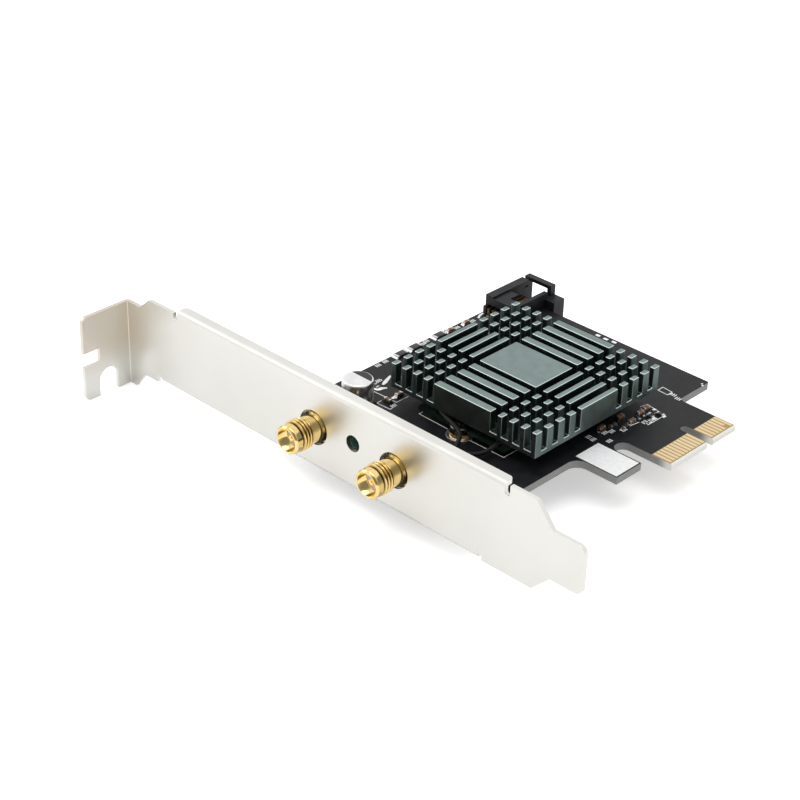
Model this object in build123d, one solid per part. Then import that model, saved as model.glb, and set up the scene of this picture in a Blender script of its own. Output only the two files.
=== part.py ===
from build123d import *
import os
from math import radians, sqrt, tan

# A short expansion card that carries a wireless module under a finned heatsink.
# The origin is the key of the edge connector, at the tip of the tongue and half way through the board.
# X runs along the bracket towards its plugged-in tip, Y runs away from the bracket, Z is the component side.

# Board
board_thickness = 1.57
board_width = 51.0
board_rear = 18.05
board_setback = 2.0
board_corner = 0.5
rear_step = 0.35

# Edge connector tongue
tongue_length = 13.9
tongue_front = 12.15
tongue_rear = 8.15
tongue_root_radius = 1.2
key_width = 1.9
key_depth = 6.9
tip_bevel = 0.3
contact_pitch = 1.0
contact_start = 1.5
contact_width = 0.7
contact_length = 4.1
short_contact_length = 3.1
contact_thickness = 0.05
contact_margin = 0.55
contacts_front = 11
contacts_rear = 7
top_short_contact = 16
bottom_short_contact = 10

# Retention hook beside the tongue
hook_reach = 9.6
hook_width = 7.3
hook_gap = 3.75
hook_gap_floor = 2.15
hook_root_radius = 2.6
hook_gap_rounding = 0.49

# Bracket sheet
bracket_length = 120.02
bracket_width = 18.42
bracket_overhang = 14.36
bracket_to_key = 56.2
bracket_drop = 2.9
sheet = 0.86
bend_inside = 0.2
flange_depth = 2.5
lower_flange_tip_gap = 23.76
upper_flange_tip_gap = 18.16
lower_flange_start = 9.8
upper_flange_start = 15.4
flange_corner = 1.0
relief_width = 1.2
upper_relief_depth = 2.3
lower_relief_depth = 1.4
relief_overcut = 1.0

# Bracket tab with the fixing slot
tab_depth = 11.6
tab_width = 18.9
tab_drop = 4.1
tab_corner = 1.3
tab_notch_depth = 3.95
tab_notch_height = 3.2
tab_notch_rise = 7.7
fixing_slot_width = 4.7
fixing_slot_offset = 5.6
fixing_slot_depth = 5.7
neck_low = 1.8
neck_high = 3.8
neck_slant = 2.9
shoulder_low = 0.45
shoulder_high = 0.97

# Bracket tip
tip_width = 10.0
tip_rise = 3.9
tip_length = 7.1
tip_slant = 3.9
tip_corner = 1.6

# Bracket ears and the screws that hold the board on them
ear_width = 7.6
ear_length = 11.4
ear_inset = 5.5
ear_hole_offset = 7.8
ear_corner = 1.8
ear_bend_start = 3.0
ear_slope = 45.0
screw_shank = 2.9
screw_head = 5.4
screw_head_height = 1.8
screw_chamfer = 0.6
screw_slot = 0.7
screw_slot_depth = 0.9
screw_slot_length = 3.2
screw_overrun = 0.8
screw_clearance = 0.15

# Antenna jacks
jack_inset = 14.0
jack_spacing = 20.8
jack_height = 4.3
jack_reach = 6.95
jack_hole = 7.2
jack_rim = 5.1
jack_collar = 5.8
jack_collar_length = 1.6
jack_collar_slope = 0.45
jack_groove = 5.1
jack_groove_width = 0.3
jack_thread = 6.2
jack_thread_length = 2.7
jack_neck = 5.5
jack_shoulder = 6.4
jack_shoulder_length = 0.4
jack_socket = 4.6
jack_socket_depth = 2.2
jack_block_width = 6.6
jack_block_depth = 7.0
jack_block_gap = 0.35
jack_block_chamfer = 0.5
jack_post = 1.1
jack_post_inset = 0.9
jack_insulator = 4.1
jack_pin = 1.27
jack_pin_setback = 0.9
jack_pin_chamfer = 0.25
jack_tail_inset = 2.0
jack_tail_room = 0.6
tail_length = 0.9
hole_clearance = 0.15

# Status light
led_height = 5.35
led_diameter = 3.0
led_hole = 3.4
led_proud = 0.1
led_body_length = 4.3
led_flange = 3.8
led_flange_length = 1.0
led_lead = 0.5
led_lead_spread = 2.54
led_lead_run = 1.3
led_lead_bend = 0.6

# Wireless module, its socket and its fixing
module_x = -34.6
module_end = -33.1
module_width = 22.0
module_length = 30.0
module_thickness = 0.8
module_lift = 0.95
module_notch = 3.5
module_fit = 0.1
shield_margin = 0.8
shield_front = 5.2
shield_length = 20.5
shield_height = 1.2
shield_wall = 0.2
shield_corner = 0.8
socket_width = 24.6
socket_depth = 8.0
socket_height = 2.35
socket_chamfer = 0.4
socket_grip = 4.0
socket_contact_pitch = 1.0
socket_contact_count = 20
socket_contact_width = 0.35
socket_contact_length = 1.1
socket_contact_thickness = 0.2
standoff_flange = 5.5
standoff_flange_height = 0.25
standoff_barrel = 4.2
module_screw_head = 4.0
module_screw_head_height = 0.65
module_screw_shank = 2.0
module_screw_slot = 0.5
module_screw_slot_depth = 0.3
module_screw_slot_length = 2.4
module_screw_chamfer = 0.2

# Heatsink and the pad beneath it
pad_thickness = 0.25
pad_margin = 0.6
heatsink_shift = 0.3
heatsink_forward = 0.3
heatsink_height = 5.4
heatsink_base = 1.05
long_fin_width = 1.76
long_fin_gap = 1.5
long_fin_count = 4
cross_fin_width = 1.1
cross_fin_gap = 1.72
cross_fin_count = 4
block_length = 14.4
block_width = 10.9

# Coax connectors on the module and the leads to the antenna jacks
coax_spread = 17.6
coax_inset = 2.6
receptacle_side = 2.0
receptacle_base = 0.3
receptacle_ring = 1.7
receptacle_height = 0.7
plug_diameter = 2.4
plug_height = 1.05
plug_barrel = 1.2
plug_barrel_length = 1.9
lead_diameter = 0.9
joint_diameter = 2.2
joint_height = 1.1
joint_chamfer = 0.6
lead_bend_share = 0.48

# Shrouded header on the rear corner
header_inset = 0.4
header_width = 7.3
header_depth = 10.45
header_height = 3.85
header_rib_width = 2.0
header_rib_height = 0.4
header_floor = 0.5
header_wall = 1.0
header_wall_height = 3.2
header_back = 2.7
header_roof_width = 2.45
header_roof_length = 2.8
header_undercut = 1.0
header_undercut_low = 0.9
header_undercut_high = 2.1
header_cheek_width = 0.8
header_cheek = 0.7
header_cheek_height = 1.75
header_flange_width = 12.6
header_flange_depth = 3.4
header_flange_high = 1.9
header_flange_low = 3.1
header_flange_floor = 0.7
header_flange_gap = 0.3
header_bar_depth = 1.5
header_bar_height = 0.8
header_bar_gap = 1.0
header_pin = 0.6
header_pin_pitch = 1.25
header_pin_count = 4
header_pin_height = 1.5
header_pin_reach = 6.0
header_pin_tail_gap = 0.75
header_pin_chamfer = 0.12

# Electrolytic capacitor
capacitor_inset = 8.5
capacitor_setback = 17.3
capacitor_diameter = 6.3
capacitor_height = 5.7
capacitor_base_side = 6.6
capacitor_base_height = 1.0
capacitor_base_chamfer = 1.3
capacitor_edge = 0.45
capacitor_groove = 0.2
capacitor_groove_rise = 0.6
capacitor_lead_width = 0.7
capacitor_lead_thickness = 0.2
capacitor_lead_reach = 1.0
capacitor_lead_gap = 2.2

# Chip parts, as a distance from the free edge or the shoulder, a place along the edge and a turn in degrees
chip_length = 1.6
chip_width = 0.8
capacitor_chip_height = 0.75
chip_end = 0.32
chip_end_proud = 0.03
resistor_chip_height = 0.45
large_chip_length = 3.2
large_chip_width = 1.6
large_chip_height = 0.55
large_chip_end = 0.5
free_edge_capacitors = [(1.2, -4.4, 90), (1.2, 0.6, 90), (12.1, -31.0, 90), (12.1, -34.1, 0)]
free_edge_resistors = [(6.5, -31.9, 0)]
large_resistors = [(1.0, -7.4, 90), (1.0, -14.8, 90), (1.0, -18.9, 90)]
shoulder_capacitors = [(3.3, -11.9, 90), (3.3, -6.0, 90), (0.7, -5.7, 90), (1.6, -2.0, 90), (1.8, 0.2, 90)]
shoulder_resistors = [(2.4, -9.4, 90), (0.4, -7.9, 90), (-0.5, -1.5, 0), (-1.4, 0.6, 0)]

# Places worked out from the sizes above
top = board_thickness / 2
underside = -top
shoulder_x = -tongue_length
free_edge_x = shoulder_x - board_width
face_y = -bracket_to_key
front_edge_y = face_y + board_setback
bracket_low = underside - bracket_drop
bend_x = bracket_overhang - bracket_length + sheet
bend_outside = bend_inside + sheet
jack_x = free_edge_x + jack_inset
jack_places = [jack_x, jack_x + jack_spacing]
led_x = jack_x + jack_spacing / 2
capacitor_x = free_edge_x + capacitor_inset
capacitor_y = face_y + capacitor_setback
ear_places = [free_edge_x + ear_inset, shoulder_x - ear_inset]
ear_hole_y = face_y + ear_hole_offset
module_z = top + module_lift
module_top = module_z + module_thickness
pad_z = module_top + shield_height
heatsink_z = pad_z + pad_thickness
header_x = free_edge_x + header_inset
header_end_y = board_rear - header_depth
header_mouth_y = board_rear + header_flange_gap + header_flange_depth
coax_places = [module_x - coax_spread / 2, module_x + coax_spread / 2]
coax_y = module_end + coax_inset
jack_block_front = sheet + jack_block_gap
jack_tail_y = jack_block_front + jack_block_depth - jack_tail_inset
header_tail_y = header_end_y - header_pin_tail_gap

# The leads' routes, from each plug on the module to the joint behind the far jack
right_lead_route = [
    (-42.3, -31.3, 3.25),
    (-39.2, -33.1, 3.3),
    (-35.4, -34.6, 3.8),
    (-31.6, -36.1, 3.6),
    (-30.3, -39.2, 2.55),
    (-30.2, -42.6, 1.75),
    (-30.1, -45.2, 1.55),
]
left_lead_route = [
    (-25.5, -31.7, 3.25),
    (-24.9, -34.0, 3.1),
    (-26.1, -36.5, 1.75),
    (-29.3, -38.4, 1.3),
    (-35.0, -40.2, 1.28),
    (-41.6, -41.6, 1.3),
    (-47.2, -43.2, 1.32),
    (-50.6, -44.9, 1.4),
]


def rectangle(x0, x1, y0, y1):
    return Pos((x0 + x1) / 2, (y0 + y1) / 2) * Rectangle(x1 - x0, y1 - y0)


def block(x0, x1, y0, y1, z0, z1):
    return Pos((x0 + x1) / 2, (y0 + y1) / 2, (z0 + z1) / 2) * Box(x1 - x0, y1 - y0, z1 - z0)


def rod(x, y, z0, z1, diameter):
    return Pos(x, y, (z0 + z1) / 2) * Cylinder(diameter / 2, z1 - z0)


def rod_along_y(x, z, y0, y1, diameter):
    return Pos(x, (y0 + y1) / 2, z) * Rot(90, 0, 0) * Cylinder(diameter / 2, y1 - y0)


def corners(shape, places):
    return [shape.vertices().sort_by_distance((place[0], place[1], 0))[0] for place in places]


def turned(points):
    # A solid of revolution about Y from (radius, along) points.
    return revolve(make_face(Polyline(*points, close=True)), Axis.Y)


def bracket_sheet():
    # Flat plate with the slanted neck, the shoulders and the narrow tip.
    end = bracket_length - sheet
    tab_low = -tab_drop
    tab_high = tab_low + tab_width
    low = -shoulder_low
    high = bracket_width - shoulder_high
    slant_x = end - tip_length - tip_slant
    upper_step = upper_flange_start - relief_width
    points = [
        (bend_inside, tab_low), (neck_low, tab_low), (neck_low + neck_slant, low),
        (lower_flange_start, low), (lower_flange_start, 0),
        (slant_x, 0), (slant_x + tip_slant, tip_rise), (end, tip_rise),
        (end, tip_rise + tip_width), (slant_x + tip_slant, tip_rise + tip_width),
        (slant_x, bracket_width), (upper_step, bracket_width), (upper_step, high),
        (neck_high + neck_slant, high), (neck_high, tab_high), (bend_inside, tab_high),
    ]
    outline = make_face(Polyline(*points, close=True))
    outline = fillet(corners(outline, [(end, tip_rise), (end, tip_rise + tip_width)]), tip_corner)
    plane = Plane((bend_x, face_y, bracket_low), x_dir=(1, 0, 0), z_dir=(0, -1, 0))
    return extrude(plane * outline, amount=-sheet)


def bracket_flange(start, tip_gap, upward):
    # One folded edge: a quarter bend and a short return, with a rounded end.
    bend = Pos(bend_outside, -bend_outside) * (Circle(bend_outside) - Circle(bend_inside))
    bend = bend & rectangle(0, bend_outside, -bend_outside, 0)
    lip = rectangle(bend_outside, flange_depth, -sheet, 0)
    edge_z = bracket_low + bracket_width if upward else bracket_low
    along = (1, 0, 0) if upward else (-1, 0, 0)
    x0 = bend_x + start
    x1 = bracket_overhang - tip_gap
    plane = Plane((x0 if upward else x1, face_y, edge_z), x_dir=(0, 1, 0), z_dir=along)
    shape = extrude(plane * (bend + lip), amount=x1 - x0)
    ends = shape.edges().filter_by(Axis.Z).sort_by(Axis.Y)[-2:]
    return fillet(ends, flange_corner)


def bracket_relief(start, tip_gap, upward):
    # The strip that the fold takes from the plate, with a deeper round relief at each end.
    reach = upper_relief_depth if upward else lower_relief_depth
    x0 = bend_x + start
    x1 = bracket_overhang - tip_gap
    y1 = face_y + sheet
    if upward:
        z_edge = bracket_low + bracket_width
        strip = block(x0, x1, face_y, y1, z_edge - bend_outside, z_edge + relief_overcut)
    else:
        z_edge = bracket_low
        strip = block(x0, x1, face_y, y1, z_edge - relief_overcut, z_edge + bend_outside)
    for x in (x0 - relief_width / 2, x1 + relief_width / 2):
        z_end = z_edge - reach + relief_width / 2 if upward else z_edge + reach - relief_width / 2
        low_z = min(z_end, z_edge + relief_overcut if upward else z_edge - relief_overcut)
        high_z = max(z_end, z_edge + relief_overcut if upward else z_edge - relief_overcut)
        strip += block(x - relief_width / 2, x + relief_width / 2, face_y, y1, low_z, high_z)
        strip += rod_along_y(x, z_end, face_y, y1, relief_width)
    return strip


def bracket_tab():
    # The tab folded outwards at the end of the plate, with its square notch and open fixing slot.
    low_z = bracket_low - tab_drop
    section = make_face(Polyline(
        (-sheet, -tab_depth), (0, -tab_depth), (0, 0), (bend_outside, 0), (bend_outside, sheet),
        (-sheet, sheet), close=True))
    section = fillet(corners(section, [(0, 0)]), bend_inside)
    section = fillet(corners(section, [(-sheet, sheet)]), bend_outside)
    tab = extrude(Pos(bend_x, face_y, low_z) * section, amount=tab_width)
    outer = tab.edges().filter_by(Axis.X).group_by(Axis.Y)[0]
    tab = fillet(outer, tab_corner)
    edge_y = face_y - tab_depth
    tab -= block(bend_x - sheet, bend_x, edge_y, edge_y + tab_notch_depth,
                 low_z + tab_notch_rise, low_z + tab_notch_rise + tab_notch_height)
    slot_y = face_y - fixing_slot_offset
    slot_z = low_z + fixing_slot_depth - fixing_slot_width / 2
    tab -= block(bend_x - sheet, bend_x, slot_y - fixing_slot_width / 2, slot_y + fixing_slot_width / 2,
                 low_z, slot_z)
    tab -= Pos(bend_x - sheet / 2, slot_y, slot_z) * Rot(0, 90, 0) * Cylinder(fixing_slot_width / 2, sheet)
    return tab


def bracket_ear(x):
    # An ear that continues the lower fold and is set up to the underside of the board.
    rise = bracket_drop - sheet
    run = rise / tan(radians(ear_slope))
    lag = sheet * tan(radians(ear_slope / 2))
    section = make_face(Polyline(
        (bend_outside, 0), (ear_bend_start, 0), (ear_bend_start + run, rise), (ear_length, rise),
        (ear_length, rise + sheet), (ear_bend_start + run - lag, rise + sheet),
        (ear_bend_start - lag, sheet), (bend_outside, sheet), close=True))
    plane = Plane((x - ear_width / 2, face_y, bracket_low), x_dir=(0, 1, 0), z_dir=(1, 0, 0))
    ear = extrude(plane * section, amount=ear_width)
    ends = ear.edges().filter_by(Axis.Z).group_by(Axis.Y)[-1]
    ear = fillet(ends, ear_corner)
    return ear - rod(x, ear_hole_y, bracket_low, underside, screw_shank)


def bracket():
    shape = bracket_sheet()
    shape -= bracket_relief(lower_flange_start, lower_flange_tip_gap, False)
    shape -= bracket_relief(upper_flange_start, upper_flange_tip_gap, True)
    shape += bracket_flange(lower_flange_start, lower_flange_tip_gap, False)
    shape += bracket_flange(upper_flange_start, upper_flange_tip_gap, True)
    shape += bracket_tab()
    for x in ear_places:
        shape += bracket_ear(x)
    for x in jack_places:
        shape -= rod_along_y(x, top + jack_height, face_y, face_y + sheet, jack_hole)
    shape -= rod_along_y(led_x, top + led_height, face_y, face_y + sheet, led_hole)
    return shape


def bracket_screw(x):
    head = rod(x, ear_hole_y, top, top + screw_head_height, screw_head)
    head = chamfer(head.edges().group_by(Axis.Z)[-1], screw_chamfer)
    crown = top + screw_head_height
    for turn in (0, 90):
        slot = Box(screw_slot_length, screw_slot, screw_slot_depth)
        head -= Pos(x, ear_hole_y, crown - screw_slot_depth / 2) * Rot(0, 0, turn) * slot
    return head + rod(x, ear_hole_y, underside - sheet - screw_overrun, top, screw_shank)


def board():
    hook_far = -tongue_front - hook_gap
    hook_near = hook_far - hook_width
    gap_x = shoulder_x + hook_gap_floor
    hook_x = shoulder_x + hook_reach
    rear_x = shoulder_x + rear_step
    outline = make_face(Polyline(
        (free_edge_x, front_edge_y), (shoulder_x, front_edge_y), (shoulder_x, hook_near), (hook_x, hook_near),
        (hook_x, hook_far), (gap_x, hook_far), (gap_x, -tongue_front), (0, -tongue_front), (0, tongue_rear),
        (rear_x, tongue_rear), (rear_x, board_rear), (free_edge_x, board_rear), close=True))
    outline = fillet(corners(outline, [(shoulder_x, hook_near)]), hook_root_radius)
    gap_corners = corners(outline, [(gap_x, hook_far), (gap_x, -tongue_front)])
    outline = fillet(gap_corners, hook_gap * hook_gap_rounding)
    outline = fillet(corners(outline, [(rear_x, tongue_rear)]), tongue_root_radius)
    outline = fillet(corners(outline, [
        (free_edge_x, front_edge_y), (shoulder_x, front_edge_y),
        (rear_x, board_rear), (free_edge_x, board_rear)]), board_corner)
    key_end = -key_depth + key_width / 2
    outline -= rectangle(key_end, 0, -key_width / 2, key_width / 2)
    outline -= Pos(key_end, 0) * Circle(key_width / 2)
    for x in ear_places:
        outline -= Pos(x, ear_hole_y) * Circle(screw_shank / 2 + screw_clearance)
    for x in jack_places:
        for place in jack_post_places(x):
            outline -= Pos(*place) * Circle(jack_post / 2 + hole_clearance)
        outline -= Pos(x, face_y + jack_tail_y) * Circle(jack_pin / 2 + hole_clearance)
    for x in led_lead_places():
        outline -= Pos(x, led_lead_y()) * Circle(led_lead / sqrt(2) + hole_clearance)
    for x in header_pin_places():
        outline -= Pos(x, header_tail_y) * Circle(header_pin / sqrt(2) + hole_clearance)
    shape = extrude(Pos(0, 0, underside) * outline, amount=board_thickness)
    tip = shape.edges().filter_by(Axis.Y).group_by(Axis.X)[-1]
    return chamfer(tip, tip_bevel)


def edge_contacts(z0, short_place):
    fingers = []
    places = [-contact_start - i * contact_pitch for i in range(contacts_front)]
    places += [contact_start + i * contact_pitch for i in range(contacts_rear)]
    for i, y in enumerate(places):
        length = short_contact_length if i == short_place else contact_length
        x0 = -contact_margin - contact_length
        fingers.append(block(x0, x0 + length, y - contact_width / 2, y + contact_width / 2,
                             z0, z0 + contact_thickness))
    return fingers


def jack_post_places(x):
    side = jack_block_width / 2 - jack_post_inset
    near = front_edge_y + jack_post_inset + jack_post / 2
    far = face_y + jack_block_front + jack_block_depth - jack_post_inset
    return [(x + sign * side, y) for sign in (-1, 1) for y in (near, far)]


def jack_body(x):
    # A turned barrel on a square block that stands on the board with four posts.
    nose = -jack_reach
    groove = nose + jack_collar_length
    thread = groove + jack_groove_width
    neck = thread + jack_thread_length
    shoulder = jack_block_front - jack_shoulder_length - sheet
    middle = jack_block_front + jack_block_depth / 2
    seat = nose + jack_socket_depth
    rear = jack_tail_y - jack_tail_room - jack_pin
    profile = [
        (jack_socket / 2, nose), (jack_rim / 2, nose), (jack_collar / 2, nose + jack_collar_slope),
        (jack_collar / 2, groove), (jack_groove / 2, groove), (jack_groove / 2, thread),
        (jack_thread / 2, thread), (jack_thread / 2, neck), (jack_neck / 2, neck), (jack_neck / 2, shoulder),
        (jack_shoulder / 2, shoulder), (jack_shoulder / 2, middle), (0, middle), (0, seat),
        (jack_socket / 2, seat),
    ]
    axis_z = top + jack_height
    barrel = Pos(x, face_y, axis_z) * turned(profile)
    half = jack_block_width / 2
    y0 = face_y + jack_block_front
    shape = block(x - half, x + half, y0, y0 + jack_block_depth, top, axis_z + half)
    shape = chamfer(shape.edges().filter_by(Axis.Y).group_by(Axis.Z)[-1], jack_block_chamfer)
    shape += barrel
    shape -= rod_along_y(x, axis_z, face_y + seat, face_y + rear, jack_insulator)
    room = jack_pin / 2 + jack_tail_room
    shape -= block(x - room, x + room, face_y + rear, face_y + jack_tail_y + room, top, axis_z + room)
    for place in jack_post_places(x):
        shape += rod(place[0], place[1], underside - tail_length, top, jack_post)
    return shape


def jack_insulator_tube(x):
    seat = face_y - jack_reach + jack_socket_depth
    rear = face_y + jack_tail_y - jack_tail_room - jack_pin
    tube = rod_along_y(x, top + jack_height, seat, rear, jack_insulator)
    return tube - rod_along_y(x, top + jack_height, seat, rear, jack_pin)


def jack_centre_pin(x):
    # The contact runs down the middle of the jack and turns down through the board.
    axis_z = top + jack_height
    front = face_y - jack_reach + jack_pin_setback
    tail_y = face_y + jack_tail_y
    pin = rod_along_y(x, axis_z, front, tail_y, jack_pin)
    pin = chamfer(pin.edges().group_by(Axis.Y)[0], jack_pin_chamfer)
    pin += Pos(x, tail_y, axis_z) * Sphere(jack_pin / 2)
    return pin + rod(x, tail_y, underside - tail_length, axis_z, jack_pin)


def led_lead_places():
    return [led_x - led_lead_spread / 2, led_x + led_lead_spread / 2]


def led_lead_y():
    return face_y - led_proud + led_body_length + led_flange_length + led_lead_run


def led_lens():
    radius = led_diameter / 2
    tip = -led_proud
    side = tip + led_body_length
    back = side + led_flange_length
    with_dome = make_face(
        RadiusArc((0, tip), (radius, tip + radius), -radius)
        + Polyline((radius, tip + radius), (radius, side), (led_flange / 2, side), (led_flange / 2, back),
                   (0, back), (0, tip)))
    return Pos(led_x, face_y, top + led_height) * revolve(with_dome, Axis.Y)


def led_leads():
    back = face_y - led_proud + led_body_length + led_flange_length
    y = led_lead_y()
    z = top + led_height
    leads = []
    for x in led_lead_places():
        path = FilletPolyline((x, back, z), (x, y, z), (x, y, underside - tail_length), radius=led_lead_bend)
        section = Plane((x, back, z), x_dir=(1, 0, 0), z_dir=(0, 1, 0)) * Rectangle(led_lead, led_lead)
        leads.append(sweep(section, path=path))
    return leads


def heatsink():
    # An extruded comb, sawn across at both ends so that only the middle block stays whole.
    half_y = block_width / 2 + long_fin_count * (long_fin_gap + long_fin_width)
    half_x = block_length / 2 + cross_fin_count * (cross_fin_gap + cross_fin_width)
    crown = heatsink_height
    comb = rectangle(-half_y, half_y, 0, crown)
    for i in range(long_fin_count):
        gap = block_width / 2 + i * (long_fin_gap + long_fin_width)
        comb -= rectangle(gap, gap + long_fin_gap, heatsink_base, crown)
        comb -= rectangle(-gap - long_fin_gap, -gap, heatsink_base, crown)
    x = module_x + heatsink_shift
    y = module_end - heatsink_forward + half_y
    plane = Plane((x - half_x, y, heatsink_z), x_dir=(0, 1, 0), z_dir=(1, 0, 0))
    shape = extrude(plane * comb, amount=2 * half_x)
    for i in range(cross_fin_count):
        gap = block_length / 2 + i * (cross_fin_gap + cross_fin_width)
        for x0 in (x + gap, x - gap - cross_fin_gap):
            shape -= block(x0, x0 + cross_fin_gap, y - half_y, y + half_y,
                           heatsink_z + heatsink_base, heatsink_z + crown)
    return shape


def shield_box():
    half = module_width / 2 - shield_margin
    y0 = module_end + shield_front
    return module_x - half, module_x + half, y0, y0 + shield_length


def thermal_pad():
    x0, x1, y0, y1 = shield_box()
    return block(x0 + pad_margin, x1 - pad_margin, y0 + pad_margin, y1 - pad_margin,
                 pad_z, pad_z + pad_thickness)


def module_shield():
    x0, x1, y0, y1 = shield_box()
    can = block(x0, x1, y0, y1, module_top, pad_z)
    can = fillet(can.edges().filter_by(Axis.Z), shield_corner)
    inner = block(x0 + shield_wall, x1 - shield_wall, y0 + shield_wall, y1 - shield_wall,
                  module_top, pad_z - shield_wall)
    inner = fillet(inner.edges().filter_by(Axis.Z), shield_corner - shield_wall)
    return can - inner


def module_board():
    half = module_width / 2
    outline = rectangle(module_x - half, module_x + half, module_end, module_end + module_length)
    outline -= Pos(module_x, module_end) * Circle(module_notch / 2)
    return extrude(Pos(0, 0, module_z) * outline, amount=module_thickness)


def module_socket():
    # A low housing whose mouth takes the far edge of the module.
    y0 = module_end + module_length - socket_grip
    half = socket_width / 2
    mouth = module_width / 2 + module_fit
    shape = block(module_x - half, module_x + half, y0, y0 + socket_depth, top, top + socket_height)
    shape = chamfer(shape.edges().filter_by(Axis.Y).group_by(Axis.Z)[-1], socket_chamfer)
    return shape - block(module_x - mouth, module_x + mouth, y0, y0 + socket_grip,
                         module_z - module_fit, module_top + module_fit)


def module_socket_contacts():
    y0 = module_end + module_length - socket_grip + socket_depth
    span = socket_contact_pitch * (socket_contact_count - 1)
    feet = []
    for i in range(socket_contact_count):
        x = module_x - span / 2 + i * socket_contact_pitch
        feet.append(block(x - socket_contact_width / 2, x + socket_contact_width / 2,
                          y0, y0 + socket_contact_length, top, top + socket_contact_thickness))
    return feet


def module_standoff():
    shape = rod(module_x, module_end, top, top + standoff_flange_height, standoff_flange)
    shape += rod(module_x, module_end, top, module_z, standoff_barrel)
    return shape - rod(module_x, module_end, top, module_z, module_screw_shank)


def module_screw():
    head_z = module_top + module_screw_head_height
    head = rod(module_x, module_end, module_top, head_z, module_screw_head)
    head = chamfer(head.edges().group_by(Axis.Z)[-1], module_screw_chamfer)
    for turn in (0, 90):
        slot = Box(module_screw_slot_length, module_screw_slot, module_screw_slot_depth)
        head -= Pos(module_x, module_end, head_z - module_screw_slot_depth / 2) * Rot(0, 0, turn) * slot
    return head + rod(module_x, module_end, top, module_top, module_screw_shank)


def coax_receptacle(x):
    half = receptacle_side / 2
    shape = block(x - half, x + half, coax_y - half, coax_y + half, module_top, module_top + receptacle_base)
    return shape + rod(x, coax_y, module_top, module_top + receptacle_height, receptacle_ring)


def coax_plug(x, route, lead):
    # A round cap that snaps over the receptacle, with a crimped barrel round the end of the lead.
    z0 = module_top + receptacle_base
    z1 = module_top + plug_height
    cap = rod(x, coax_y, z0, z1, plug_diameter)
    start = Vector(route[0])
    away = (Vector(route[1]) - start).normalized()
    barrel = Plane(start, z_dir=away) * Cylinder(plug_barrel / 2, plug_barrel_length)
    return cap + barrel - coax_receptacle(x) - lead


def coax_lead(route):
    # A limp lead: straight runs joined by the largest arcs that they have room for.
    radii = []
    for before, here, after in zip(route, route[1:], route[2:]):
        run_in = Vector(here) - Vector(before)
        run_out = Vector(after) - Vector(here)
        turn = run_in.get_angle(run_out)
        radii.append(lead_bend_share * min(run_in.length, run_out.length) / tan(radians(turn / 2)))
    print("lead bend radii", [round(radius, 1) for radius in radii])
    path = FilletPolyline(*route, radius=radii)
    section = Plane(route[0], z_dir=Vector(route[1]) - Vector(route[0])) * Circle(lead_diameter / 2)
    return sweep(section, path=path)


def lead_joint(route, lead):
    # A heaped solder joint that holds the end of a lead on the board behind the jack.
    end = route[-1]
    heap = rod(end[0], end[1], top, top + joint_height, joint_diameter)
    heap = chamfer(heap.edges().group_by(Axis.Z)[-1], joint_chamfer)
    return heap - lead


def header_pin_places():
    middle = header_x + header_width / 2
    span = header_pin_pitch * (header_pin_count - 1)
    return [middle - span / 2 + i * header_pin_pitch for i in range(header_pin_count)]


def header_housing():
    # A right-angle shroud: an open-topped body on the board and a wide mouth flange that hangs past its edge.
    x0 = header_x
    x1 = x0 + header_width
    y0 = header_end_y
    y1 = header_mouth_y
    bar_y = y1 - header_bar_depth
    body_y = bar_y - header_bar_gap
    crown = top + header_height
    step = top + header_flange_high
    inner_x0 = x0 + header_wall
    inner_x1 = x1 - header_wall
    roof_x0 = x0 + header_rib_width
    roof_x1 = roof_x0 + header_roof_width
    back_y = y0 + header_back
    roof_y = back_y + header_roof_length
    shape = block(x0, x1, y0, body_y, top, crown)
    shape += block(x0, roof_x0, y0, body_y, crown, crown + header_rib_height)
    shape += block(x0, x0 + header_cheek_width, y0 - header_cheek, y0, top, top + header_cheek_height)
    shape -= block(roof_x1, x1, back_y, body_y, top + header_wall_height, crown)
    shape -= block(roof_x1, inner_x1, back_y, body_y, top + header_floor, crown)
    shape -= block(roof_x0, inner_x1, roof_y, body_y, top + header_floor, crown)
    shape -= block(inner_x0, inner_x1, back_y, body_y, top + header_floor, top + header_wall_height)
    shape -= block(x0 + header_cheek_width, x1, y0, y0 + header_undercut,
                   top + header_undercut_low, top + header_undercut_high)
    side = (header_flange_width - header_width) / 2
    low = top - header_flange_low
    flange_y = y1 - header_flange_depth
    shape += block(x0 - side, x1 + side, flange_y, y1, low, step)
    shape += block(x0, x1, bar_y, y1, step, crown + header_rib_height)
    shape -= block(inner_x0, inner_x1, flange_y, y1, low + header_flange_floor, step)
    shape -= block(inner_x0, inner_x1, bar_y, y1, step, crown + header_rib_height - header_bar_height)
    for x in header_pin_places():
        shape -= rod_along_y(x, top + header_pin_height, y0, back_y, header_pin * sqrt(2))
    return shape


def header_pins():
    z = top + header_pin_height
    half = header_pin / 2
    y1 = header_end_y + header_back + header_pin_reach
    pins = []
    for x in header_pin_places():
        pin = block(x - half, x + half, header_tail_y - half, y1, z - half, z + half)
        pin = chamfer(pin.edges().group_by(Axis.Y)[-1], header_pin_chamfer)
        pins.append(pin + block(x - half, x + half, header_tail_y - half, header_tail_y + half,
                                underside - tail_length, z))
    return pins


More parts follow.
